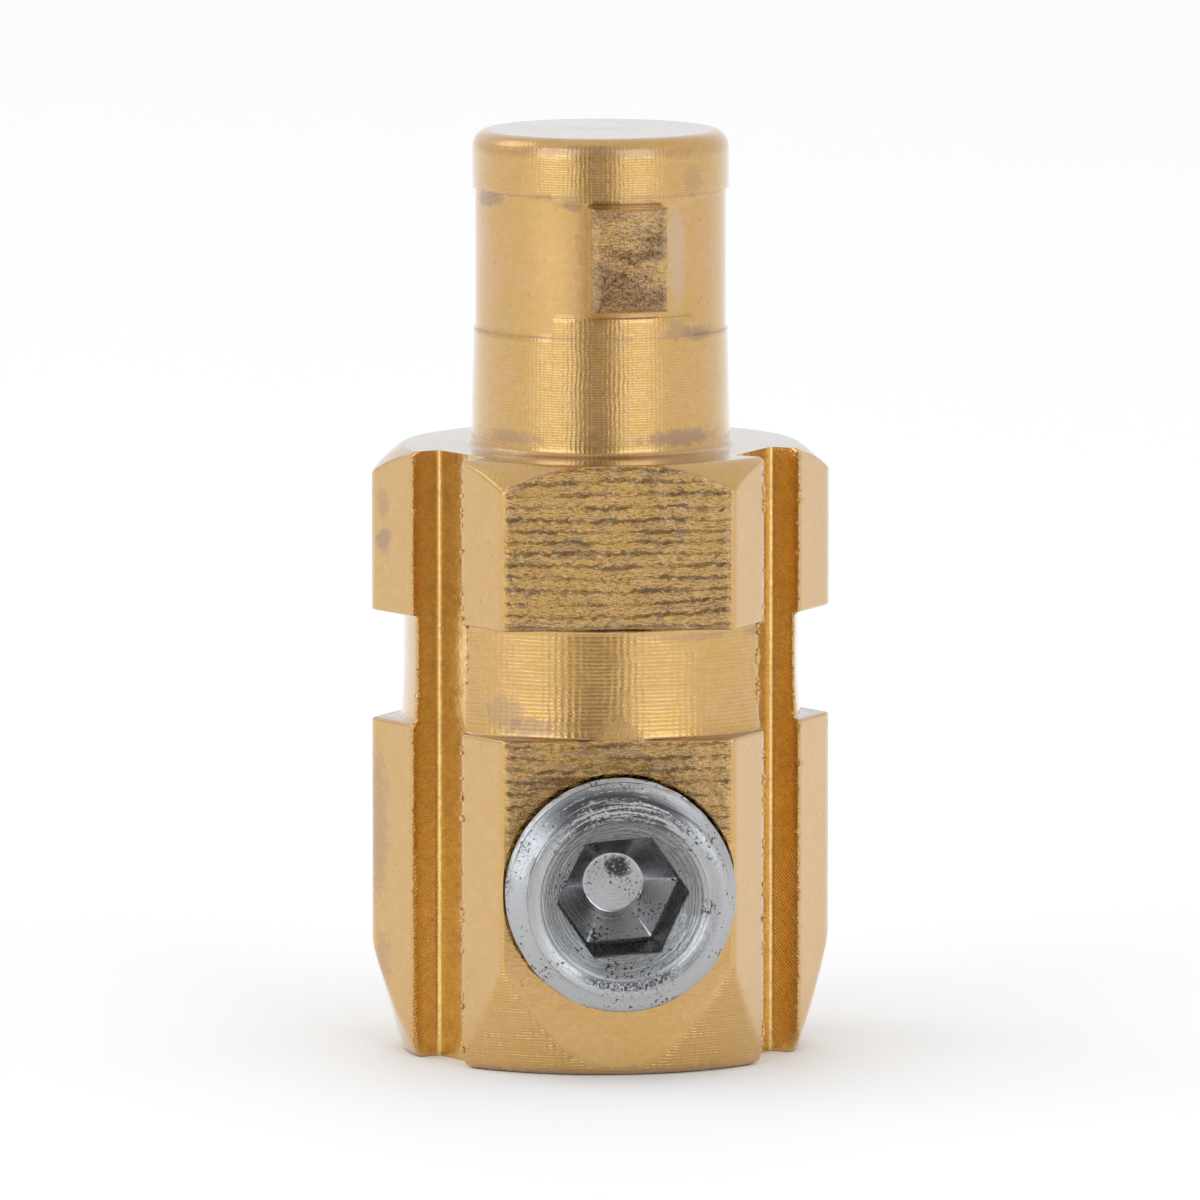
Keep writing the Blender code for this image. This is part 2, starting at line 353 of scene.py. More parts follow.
def body_rings():
    """The whole closed skin: up the bore, out over the base, up the outside and in over the shoulder."""
    sectors = body_sectors()
    skin = hexagon_radius

    def outline(radius_of, height_of):
        ring = []
        for direction, points, _ in sectors:
            x, y, z = points(radius_of, height_of).T
            across, out = -math.sin(direction), math.cos(direction)
            ring.append(np.stack([y * out + x * across, y * math.sin(direction) + x * out, z], -1))
        return np.concatenate(ring)

    spread = np.concatenate([direction + angles for direction, _, angles in sectors])

    def circle(radius, height):
        return np.stack([radius * np.cos(spread), radius * np.sin(spread), np.full(len(spread), height)], -1)

    def level(value):
        """The same height, or radius, at every angle."""
        return lambda angle: np.full(np.shape(angle), float(value))

    drill_point = BORE_DEPTH + BORE_R / math.tan(DRILL_HALF_ANGLE)
    rings = [circle(0.05, drill_point - 0.03), circle(BORE_R, BORE_DEPTH)]
    rings += [circle(BORE_R, h) for h in np.linspace(BORE_DEPTH, BORE_MOUTH, 24)[1:]]
    rings += [circle(BORE_R + BORE_MOUTH, 0), circle(LEVEL_R, 0)]

    # base edge, rounded over
    base_edge = 0.22
    cone = lambda height: lambda angle: smooth_min(skin(angle), FLAT + CONE_SLOPE * height(angle), EDGE)
    for turn in np.radians([0, 30, 60, 90]):
        in_by = base_edge * (1 - math.sin(turn))
        up = level(base_edge * (1 - math.cos(turn)))
        rings.append(outline(lambda a: cone(up)(a) - in_by, up))

    # up the cone to its crease with the flats, then up the flats
    crease = lambda angle: np.maximum((skin(angle) - FLAT) / CONE_SLOPE, base_edge + 0.25)
    for share in (0.1, 0.25, 0.4, 0.55, 0.7, 0.82, 0.92, 0.97, 1.0, 1.01):
        up = lambda angle: base_edge + (crease(angle) - base_edge) * share
        rings.append(outline(cone(up), up))
    smooth_top = 6.6
    for share in even(0.02, 1, 34):
        up = lambda angle: crease(angle) + (smooth_top - crease(angle)) * share
        rings.append(outline(cone(up), up))
    edge = 0.09
    for height in np.linspace(smooth_top, WAIST_LOW - edge, 72):
        rings.append(outline(cone(level(height)), level(height)))

    # the turned waist, a little wider at its foot
    def waist(height):
        rise = 0.093 * max(0.0, 1 - (height - WAIST_LOW) / 2.0) ** 2
        return lambda angle: smooth_min(skin(angle), level(WAIST_R + rise)(angle), 0.03)

    nose = 0.08

    def waist_side(height, into):
        """Over the hexagon's broken edge and down a fillet to the waist; into is 1 upwards, -1 downwards."""
        made = []
        for turn in np.radians([45, 90]):
            by = edge * (1 - math.cos(turn))
            over = lambda a: np.maximum(skin(a) - by, np.minimum(waist(height)(a), skin(a)))
            made.append(outline(over, level(height - into * edge * (1 - math.sin(turn)))))
        for turn in np.radians([0, 45, 90]):
            by = nose * (1 - math.sin(turn))
            fillet = lambda a: np.minimum(waist(height + into * nose)(a) + by, skin(a))
            made.append(outline(fillet, level(height + into * nose * (1 - math.cos(turn)))))
        return made[::into]

    rings += waist_side(WAIST_LOW, 1)
    for height in np.linspace(WAIST_LOW + nose, WAIST_TOP - nose, 30)[1:-1]:
        rings.append(outline(waist(height), level(height)))
    rings += waist_side(WAIST_TOP, -1)

    # the upper hexagon, up to the arc where the shoulder's turned chamfer cuts it
    shoulder_r = FLAT - SHOULDER_INSET

    def chamfer_height(radius):
        out = np.clip((radius - shoulder_r) / (CORNER - shoulder_r), 0, 1)
        return BODY_TOP - SHOULDER_DROP * out ** 1.25

    def arc_height(angle):
        return np.minimum(chamfer_height(hexagon_radius(angle)), BODY_TOP - 0.03)

    for share in np.linspace(0, 1, 76):
        up = lambda angle: WAIST_TOP + edge + (arc_height(angle) - 0.05 - WAIST_TOP - edge) * share
        rings.append(outline(skin, up))
    for share in np.linspace(0.02, 1, 12):
        radius = lambda angle: skin(angle) + (shoulder_r - skin(angle)) * share
        up = lambda angle: np.minimum(chamfer_height(radius(angle)), BODY_TOP - 0.004)
        rings.append(outline(radius, up))
    rings.append(outline(level(shoulder_r - 0.1), level(BODY_TOP)))
    rings += [circle(LEVEL_R, BODY_TOP), circle(4.9, BODY_TOP), circle(4.3, BODY_TOP)]
    return np.stack(rings) + (0, 0, BOTTOM)


# ---- thread, cut by one rule in screw and hole
def thread_tree():
    """Sinks a right-hand V thread into a shank whose axis looks along -Y."""
    t = geometry_tree("cut_thread", ("Axis Height", "Pitch", "Depth", "Shank", "Run In", "Run Out", "Fade"))
    given = t.inputs
    x, y, z = t.split(t.add("GeometryNodeInputPosition").outputs[0])
    up = t.less(z, given["Axis Height"])
    out = t.times(y, -1.0)
    turn = t.math("DIVIDE", t.math("ARCTAN2", up, x), 2 * math.pi)
    phase = t.math("FRACT", t.less(t.math("DIVIDE", out, given["Pitch"]), turn))
    flank = t.math("ABSOLUTE", t.times_plus(phase, 2.0, -1.0))
    cut = t.span(flank, 0.14, 0.8, way="LINEAR")
    radius = t.vector("LENGTH", t.join(x, 0.0, up))
    begins = t.span(out, given["Run In"], t.plus(given["Run In"], given["Fade"]))
    ends = t.span(out, t.less(given["Run Out"], given["Fade"]), given["Run Out"], 1.0, 0.0)
    root = t.less(given["Shank"], given["Depth"])
    on_shank = t.span(radius, root, given["Shank"], way="LINEAR")
    sink = t.times(cut, given["Depth"], begins, ends, on_shank)
    inward = t.vector("NORMALIZE", t.join(t.times(x, -1.0), 0.0, t.times(up, -1.0)))
    moved = t.moved(given["Geometry"], "Offset", t.scaled(inward, sink))
    return t.finished(moved)


def screw_ring(radius, out, columns):
    """A circle about the screw's axis; radius may vary round it."""
    angle = np.linspace(0, 2 * math.pi, columns, endpoint=False)
    radius = radius(angle) if callable(radius) else np.full(columns, float(radius))
    return np.stack(
        [radius * np.cos(angle), np.full(columns, -float(out)), radius * np.sin(angle) + SCREW_Z + BOTTOM], -1
    )


SOCKET_FLAT, SOCKET_DEPTH, SOCKET_TURN = 2.0, 4.0, math.radians(4.5)
LIP_R, LEAD_SLOPE = 2.86, 0.72
DISC_R, DISC_DEPTH = 1.04, 4.65


def socket_radius(angle):
    around = np.abs(np.mod(angle - SOCKET_TURN, math.pi / 3) - math.pi / 6)
    return SOCKET_FLAT / np.cos(around)


def screw_rings():
    """From the tip's middle, along the shank, over the face and down the hexagon socket."""
    columns = 216
    ring = lambda radius, out: screw_ring(radius, out, columns)
    tip_r, edge_depth = 3.3, 0.62
    rings = [ring(radius, SCREW_TIP) for radius in (0.05, 2.0, tip_r - 0.1)]
    rings += [ring(tip_r + 0.7 * t, SCREW_TIP + 0.05 + 0.65 * t) for t in (0, 0.3, 0.6, 0.9, 1.0)]
    shank_end = SCREW_FACE - edge_depth
    rings += [ring(SCREW_R, out) for out in np.linspace(SCREW_TIP + 0.72, shank_end, 132)]
    rolled = (
        (0.01, 0.12), (0.03, 0.22), (0.07, 0.32), (0.13, 0.395), (0.21, 0.45),
        (0.30, 0.50), (0.39, 0.545), (0.47, 0.58), (0.55, 0.605), (0.62, 0.617),
    )
    rings += [ring(SCREW_R - in_by, shank_end + up) for in_by, up in rolled]
    rings += [ring(SCREW_R - 0.70, SCREW_FACE)]
    dished = enumerate(np.linspace(SCREW_R - 0.76, LIP_R + 0.24, 3))
    rings += [ring(r, SCREW_FACE - 0.01 * t) for t, r in dished]
    bead = 0.26
    for turn in np.radians([8, 20, 32, 44, 56]):
        radius = LIP_R + bead * (0.85 - math.sin(turn))
        rings.append(ring(radius, SCREW_FACE - 0.03 - bead * (1 - math.cos(turn))))
    lead_top = SCREW_FACE - 0.03 - bead * 0.5
    lead_r = LIP_R - 0.04
    for down in np.linspace(0.03, 0.66, 30):
        cone = down / LEAD_SLOPE - lead_r
        lead_in = lambda a: -smooth_min(-socket_radius(a), np.full(np.shape(a), cone), 0.06)
        rings.append(ring(lead_in, lead_top - down))
    floor = SCREW_FACE - SOCKET_DEPTH
    rings += [ring(socket_radius, out) for out in np.linspace(lead_top - 0.7, floor + 0.05, 16)]
    for share in (0.0, 0.04, 0.3, 0.6, 0.9, 0.97, 1.0):
        narrowing = lambda a: socket_radius(a) * (1 - share) * 0.985 + DISC_R * share
        rings.append(ring(narrowing, floor - (DISC_DEPTH - SOCKET_DEPTH) * share))
    rings += [ring(DISC_R * 0.93, SCREW_FACE - DISC_DEPTH), ring(0.3, SCREW_FACE - DISC_DEPTH)]
    return np.stack(rings)


def hole_rings():
    """The tapped hole's tool: a shank a little over the screw's size, with a small mouth chamfer."""
    columns = 144
    radius = SCREW_R + HOLE_CLEARANCE
    mouth, past_axis = 0.09, 0.3
    rings = [screw_ring(each, -past_axis, columns) for each in (0.05, radius - 0.2)]
    rings += [screw_ring(radius, out, columns) for out in np.linspace(-past_axis, FLAT - mouth, 111)]
    rings += [screw_ring(radius + 2 * mouth, out, columns) for out in (FLAT + mouth, FLAT + 1)]
    return np.stack(rings)


def cut_thread(thing, tree, shank, run_in, run_out, material):
    sizes = {
        "Axis Height": SCREW_Z + BOTTOM, "Pitch": PITCH, "Depth": THREAD_DEPTH, "Shank": shank,
        "Run In": run_in, "Run Out": run_out, "Fade": THREAD_FADE,
    }
    return run_nodes(thing, tree, {"Material": material, **{name: size * MM for name, size in sizes.items()}})


# ---- torn, ridged metal left by a blunt cutter
def torn_metal_group(kind):
    """Ragged level ridges left by a blunt cutter: their height, and the tears under each ridge, whose dark
    colour in the materials is painted shade in the creases.

    The same rule is built once for geometry and once for shading, so that both lie together.
    """
    t = shader_group(
        "torn_metal", [("Pitch", "Float"), ("Ragged", "Float"), ("Seed", "Float")], ("Height", "Tear And Shade"), kind,
    )
    p = t.vector("ADD", t.inputs["Position"], t.join(t.inputs["Seed"], 0.0, t.inputs["Seed"]))
    z = t.split(p)[2]
    wander = t.noise(p, (0.22, 0.3, 0.5), 2.0)
    ragged = t.noise(p, (3.0, 1.0, 4.6), 4.0, 0.75)
    shift = t.plus(t.times(wander, 0.6), t.times(ragged, t.inputs["Ragged"]))
    phase = t.math("FRACT", t.math("DIVIDE", t.plus(z, shift), t.inputs["Pitch"]))
    rise = t.times(t.math("POWER", phase, 1.6), t.span(phase, 1.0, 0.86))
    strength = t.noise(p, (0.55, 1.0, 1.1), 2.0)
    strength = t.span(strength, 0.32, 0.66, 0.25, 1.0)
    scales = t.noise(p, (3.0, 2.0, 7.0), 4.0, 0.7)
    height = t.plus(t.times(rise, strength), t.times(scales, 0.5))
    t.put(height, t.end["Height"])

    # the tears: a broken crease at each ridge's foot, plus crumbs; they sink the bump, and the materials
    # darken them as painted shade
    near_foot = t.larger(t.span(phase, 0.22, 0.02), t.span(phase, 0.92, 1.0))
    broken = t.noise(p, (3.4, 2.0, 10.0), 5.0, 0.78)
    broken = t.span(t.times_plus(strength, 0.22, broken), 0.58, 0.76)
    crumbs = t.noise(p, (4.0, 3.0, 21.0), 5.0, 0.8)
    crumbs = t.times(t.span(crumbs, 0.54, 0.66), 0.7)
    t.put(t.larger(t.times(near_foot, broken), crumbs), t.end["Tear And Shade"])
    return t.tree


def torn_face_tree(torn):
    """Raises torn ridges where a face looks to the front, inside a box of places, and marks it."""
    t = geometry_tree("raise_torn_face", (
        "Bottom", "Front", "Half Width", "Middle", "Low", "Full", "High", "Depth", "Pitch", "Ragged", "Seed",
    ))
    given = t.inputs
    place = t.scaled(t.add("GeometryNodeInputPosition").outputs[0], 1 / MM)
    x, y, z = t.split(place)
    up = t.less(z, given["Bottom"])
    ridges = t.group(
        torn, Position=t.join(x, y, up), Pitch=given["Pitch"], Ragged=given["Ragged"], Seed=given["Seed"],
    )
    front = t.span(y, given["Front"], t.less(given["Front"], 0.03), way="LINEAR")
    side = t.distance(x, given["Middle"])
    inside = t.span(side, given["Half Width"], t.less(given["Half Width"], 0.18))
    grows = t.span(up, given["Low"], given["Full"])
    ends = t.span(up, given["High"], t.less(given["High"], 0.1))
    mask = t.times(front, inside, grows, ends)
    push = t.times(ridges["Height"], mask, given["Depth"])
    moved = t.moved(given["Geometry"], "Offset", t.join(0.0, t.times(push, -MM), 0.0))
    former = t.add("GeometryNodeInputNamedAttribute", {"Name": "torn"}, data_type="FLOAT")
    marks = {"Geometry": moved, "Name": "torn", "Value": t.larger(mask, former)}
    return t.finished(t.add("GeometryNodeStoreNamedAttribute", marks, data_type="FLOAT", domain="POINT"))


def tear_face(thing, tree, material, tears, across, heights, depth):
    """Tears a front face.

    tears is their pitch, raggedness and seed; across the face's Y, middle and half width; heights
    where the tears begin, are full and end.
    """
    names = ("Pitch", "Ragged", "Seed", "Front", "Middle", "Half Width", "Low", "Full", "High")
    values = dict(zip(names, (*tears, *across, *heights)))
    run_nodes(thing, tree, {"Bottom": BOTTOM, "Material": material, "Depth": depth, **values})


# ---- burrs along the keyways' lips
def burr_tree():
    """A ragged bead of metal along each line it is given."""
    t = geometry_tree("ragged_bead", ("Thin", "Thick", "Step", "Wander", "Reach", "Seed"))
    given = t.inputs
    line = t.add("GeometryNodeMeshToCurve", {"Mesh": given["Geometry"]})
    fine = t.add("GeometryNodeResampleCurve", {"Curve": line, "Length": given["Step"]}, mode="LENGTH")
    position = t.add("GeometryNodeInputPosition").outputs[0]
    place = t.vector("ADD", t.scaled(position, 1 / MM), t.join(given["Seed"], given["Seed"], 0.0))
    jolt = t.add("ShaderNodeTexNoise", {"Vector": place, "Scale": 4.0, "Detail": 3.0}).outputs["Color"]
    off = t.scaled(t.vector("SUBTRACT", jolt, (0.5, 0.5, 0.5)), given["Wander"])
    lumps = t.span(t.noise(place, 3.1, 4.0, 0.75), 0.42, 0.72)
    thickness = t.span(lumps, 0.0, 1.0, given["Thin"], given["Thick"])
    uneven = {"Curve": t.moved(fine, "Offset", off), "Radius": thickness}
    bead = t.add("GeometryNodeCurveToMesh", {
        "Curve": t.add("GeometryNodeSetCurveRadius", uneven),
        "Profile Curve": t.add("GeometryNodeCurvePrimitiveCircle", {"Resolution": 7, "Radius": 1.0}),
        "Scale": t.add("GeometryNodeInputRadius"),
        "Fill Caps": True,
    })
    within = t.vector("MINIMUM", position, t.join(1.0, given["Reach"], 1.0))
    return t.finished(t.moved(bead, "Position", within))


def lip_lines():
    """Lines along both lips of each keyway, from the base's edge up to the shoulder."""
    edges, verts = [], []
    heights = np.concatenate([
        np.linspace(0.35, WAIST_LOW - 0.12, 40), [WAIST_LOW + 0.12],
        np.linspace(WAIST_LOW + 0.3, WAIST_TOP - 0.1, 12), [WAIST_TOP + 0.12],
        np.linspace(WAIST_TOP + 0.3, BODY_TOP - 0.2, 24),
    ])
    for direction in SLOT_SIDES:
        a = math.radians(direction)
        for side in (-1, 1):
            x = side * (SLOT_HALF + 0.03)
            first = len(verts)
            for height in heights:
                in_waist = WAIST_LOW < height < WAIST_TOP
                radius = WAIST_R if in_waist else min(FLAT * 1.023, FLAT + CONE_SLOPE * height)
                y = math.sqrt(radius ** 2 - x ** 2) if radius < FLAT * 1.02 else FLAT
                y = min(y, FLAT) - 0.035
                c, s = math.cos(a), math.sin(a)
                verts.append([each * MM for each in (y * c - x * s, y * s + x * c, height + BOTTOM)])
            edges += [(i, i + 1) for i in range(first, len(verts) - 1)]
    mesh = bpy.data.meshes.new("keyway_lip_burrs")
    mesh.from_pydata(verts, edges, [])
    return linked("keyway_lip_burrs", mesh)


# ---- the spigot and its key
KEY_DIRECTION = math.radians(-83.2)
KEY_HALF, KEY_LOW, KEY_HIGH, KEY_R = 1.35, 26.5, 30.15, 5.3
STEP_HALF = math.radians(34)
NECK_LOW, NECK_HIGH, NECK_STEP_LOW, NECK_STEP_HIGH = 25.53, 30.47, 0.72, 0.24


def spigot_rings():
    """Turned spigot: root, collar, shallow neck with its step beside the key, ring, rounded tip."""
    columns = 264
    angle = np.linspace(0, 2 * math.pi, columns, endpoint=False)
    for side in (-1, 1):
        edge = np.mod(KEY_DIRECTION + side * STEP_HALF, 2 * math.pi)
        nearest = np.argsort(np.abs(np.mod(angle - edge + math.pi, 2 * math.pi) - math.pi))[:2]
        angle[nearest.min()], angle[nearest.max()] = edge - 0.006, edge + 0.006
    from_key = np.abs(np.mod(angle - KEY_DIRECTION + math.pi, 2 * math.pi) - math.pi)
    beside = (from_key < STEP_HALF).astype(float)
    neck_low = NECK_LOW + NECK_STEP_LOW * beside
    neck_high = NECK_HIGH - NECK_STEP_HIGH * beside
    collar_foot, collar_head, neck, ring_r = 4.55, 4.47, 4.4, 4.515
    tip_low, tip_flat = 31.82, 3.97

    def ring(radius, height):
        radius = radius + 0 * angle
        return np.stack([radius * np.cos(angle), radius * np.sin(angle), height + 0 * angle], -1)

    rings = [ring(0.3, 20.9), ring(4.0, 20.9), ring(4.86, 21.3)]
    fillet = 0.26
    for turn in np.radians([0, 25, 50, 70, 90]):
        radius = collar_foot + fillet * (1 - math.sin(turn))
        rings.append(ring(radius, BODY_TOP - 0.005 + fillet * (1 - math.cos(turn))))
    collar_low, collar_top = 21.66, neck_low - 0.035
    for share in np.linspace(0.03, 1, 24):
        radius = collar_foot + (collar_head - collar_foot) * share
        rings.append(ring(radius, collar_low + (collar_top - collar_low) * share))
    rings += [ring(collar_head - 0.012, neck_low - 0.008), ring(neck + 0.012, neck_low)]
    rings.append(ring(neck, neck_low + 0.03))
    for share in np.linspace(0.04, 1, 26):
        rings.append(ring(neck, neck_low + 0.03 + (neck_high - neck_low - 0.06) * share))
    rings += [ring(neck + 0.012, neck_high), ring(ring_r - 0.012, neck_high + 0.008)]
    foot = neck_high + 0.04
    rings += [ring(ring_r, foot + (tip_low - foot) * share) for share in (0, *even(0.1, 1, 9))]
    for turn in np.radians([0, 12, 24, 36, 48, 60, 72, 82, 90]):
        below_tip = 0.004 if turn < 1.5 else 0
        radius = tip_flat + (ring_r - tip_flat) * math.cos(turn)
        rings.append(ring(radius, tip_low + (HEIGHT - tip_low) * math.sin(turn) - below_tip))
    rings += [ring(tip_flat * share, HEIGHT) for share in (0.97, 0.8, 0.55, 0.3, 0.08)]
    return np.stack(rings) + (0, 0, BOTTOM)


def key_rings():
    """The bayonet key: a block with broken edges, its outer face dense enough to be torn."""
    columns = 128
    middle = (KEY_LOW + KEY_HIGH) / 2
    tall = (KEY_HIGH - KEY_LOW) / 2
    t = np.linspace(0, 4, columns, endpoint=False)
    side, along = np.floor(t).astype(int), np.mod(t, 1) * 2 - 1
    u = np.choose(side, [along, 1 + 0 * t, -along, -1 + 0 * t])
    v = np.choose(side, [-1 + 0 * t, along, 1 + 0 * t, -along])

    def ring(share, reach, shrink=0.0):
        x, z = u * (KEY_HALF - shrink) * share, v * (tall - shrink) * share
        out = np.sqrt(np.maximum(reach ** 2 - x ** 2, 0.1))
        c, s = math.cos(KEY_DIRECTION), math.sin(KEY_DIRECTION)
        return np.stack([out * c - x * s, out * s + x * c, middle + z], -1)

    rings = [ring(0.2, 3.9), ring(1, 3.9), ring(1, 4.3), ring(1, 4.7)]
    edge = 0.2
    for turn in np.radians([0, 30, 60, 90]):
        rings.append(ring(1, KEY_R - edge * (1 - math.sin(turn)), edge * (1 - math.cos(turn))))
    rings += [ring(share, KEY_R, edge) for share in np.linspace(0.975, 0.015, 40)]
    return np.stack(rings) + (0, 0, BOTTOM)


# ---- finishes
def turned_lines_group():
    """Fine lathe lines, stacked along the height on upright faces and along the radius on level ones."""
    waver, ripples_round = 0.1, 180.0
    t = shader_group("turned_lines", [("Spacing", "Float")], ("Height", "Line"))
    p = t.inputs["Position"]
    x, y, z = t.split(p)
    radius = t.vector("LENGTH", t.join(x, y, 0.0))
    around = t.noise(p, (0.5, 0.5, 3.0), 2.0)
    along = t.times_plus(around, waver, t.plus(z, radius))
    phase = t.math("DIVIDE", t.times(along, 2 * math.pi), t.inputs["Spacing"])
    fine = t.times_plus(t.math("SINE", phase), 0.5, 0.5)
    deep = t.noise(t.join(0.0, 0.0, t.times(along, 3.0)), 1.0, 3.0, 0.7)
    patchy = t.noise(p, (1.2, 1.2, 2.5), 3.0, 0.6)
    strength = t.times(t.span(deep, 0.2, 0.7, 0.35, 1.0), t.span(patchy, 0.3, 0.7, 0.55, 1.0))
    judder = t.times(t.math("ARCTAN2", y, x), ripples_round)
    judder = t.times_plus(t.noise(p, 1.2, 2.0), 6.0, judder)
    judder = t.times(t.math("SINE", judder), t.span(patchy, 0.35, 0.6, 0.2, 0.45))
    t.put(t.times_plus(fine, strength, judder), t.end["Height"])
    t.put(t.times(t.less(1.0, fine), strength), t.end["Line"])
    return t.tree


def ragged_patch_group():
    """A ragged patch round one place, with its sizes along X, Y and Z; it places stained patches and painted
    reflections alike.
    """
    t = shader_group("ragged_patch", [("Centre", "Vector"), ("Size", "Vector")], ["Mask"])
    p = t.inputs["Position"]
    off = t.vector("DIVIDE", t.vector("SUBTRACT", p, t.inputs["Centre"]), t.inputs["Size"])
    ragged = t.noise(p, 3.0, 4.0, 0.65)
    near = t.plus(t.vector("LENGTH", off), t.times(ragged, 1.6))
    t.put(t.span(near, 1.75, 1.25), t.end["Mask"])
    return t.tree


def grain_group():
    """Uneven metal: broad cloudiness, mottling, small specks, and scratches that lie one way."""
    t = shader_group("metal_grain", [], ("Cloud", "Mottle", "Speck", "Scratch", "Skin"))
    p = t.inputs["Position"]
    t.put(t.span(t.noise(p, 0.45, 3.0, 0.6), 0.38, 0.62), t.end["Cloud"])
    mottle = t.noise(t.vector("MULTIPLY", p, (1.0, 1.0, 1.5)), 1.9, 5.0, 0.72)
    t.put(t.span(mottle, 0.4, 0.66), t.end["Mottle"])
    few = t.span(t.noise(p, 0.7, 2.0), 0.4, 0.65)
    speck = t.span(t.noise(p, 4.2, 3.0, 0.6), 0.64, 0.70)
    t.put(t.times(speck, few), t.end["Speck"])
    t.put(t.noise(p, (0.6, 0.6, 12.0), 3.0, 0.7), t.end["Scratch"])
    t.put(t.noise(p, 4.5, 3.0, 0.75), t.end["Skin"])
    return t.tree


def millimetre_position(t):
    """Object coordinates in millimetres, with heights from the insert's bottom face."""
    place = t.add("ShaderNodeTexCoord").outputs["Object"]
    return t.vector("SUBTRACT", t.scaled(place, 1 / MM), (0.0, 0.0, BOTTOM))


def new_material(name):
    made = bpy.data.materials.new(name)
    made.use_nodes = True
    t = Tree(made.node_tree)
    return made, t, made.node_tree.nodes["Principled BSDF"].inputs


def bumped(t, height, distance, strength, *normal):
    given = {"Height": height, "Distance": distance * MM, "Strength": strength}
    given |= {"Normal": each for each in normal}
    return t.add("ShaderNodeBump", given).outputs[0]


BRASS = (0.565, 0.318, 0.088, 1.0)
BRASS_YELLOW = (0.55, 0.325, 0.065, 1.0)
BRASS_PALE = (0.62, 0.385, 0.155, 1.0)
BRASS_PAINTED_TOP_SHEEN = (0.37, 0.28, 0.19, 1.0)
BRASS_DEEP = (0.50, 0.26, 0.05, 1.0)
BRASS_KEYWAY_REFLECTION = (0.90, 0.61, 0.19, 1.0)
BRASS_STAIN_AND_SHADE = (0.36, 0.21, 0.11, 1.0)
BRASS_TEAR_SHADE = (0.17, 0.085, 0.022, 1.0)
BRASS_PALE_REFLECTION = (0.56, 0.42, 0.30, 1.0)
BRASS_COAT = (("Weight", 1.0), ("Roughness", 0.13), ("IOR", 1.65))


def corner_shade_line_group():
    """A broken brown line at one height: painted shade in a corner."""
    t = shader_group("painted_corner_shade_line", [("Level", "Float"), ("Width", "Float")], ["Mask"])
    p = t.inputs["Position"]
    uneven = t.noise(p, 2.6, 4.0, 0.7)
    off = t.math("DIVIDE", t.distance(t.split(p)[2], t.inputs["Level"]), t.inputs["Width"])
    t.put(t.span(t.times_plus(uneven, 2.4, off), 2.0, 1.2), t.end["Mask"])
    return t.tree


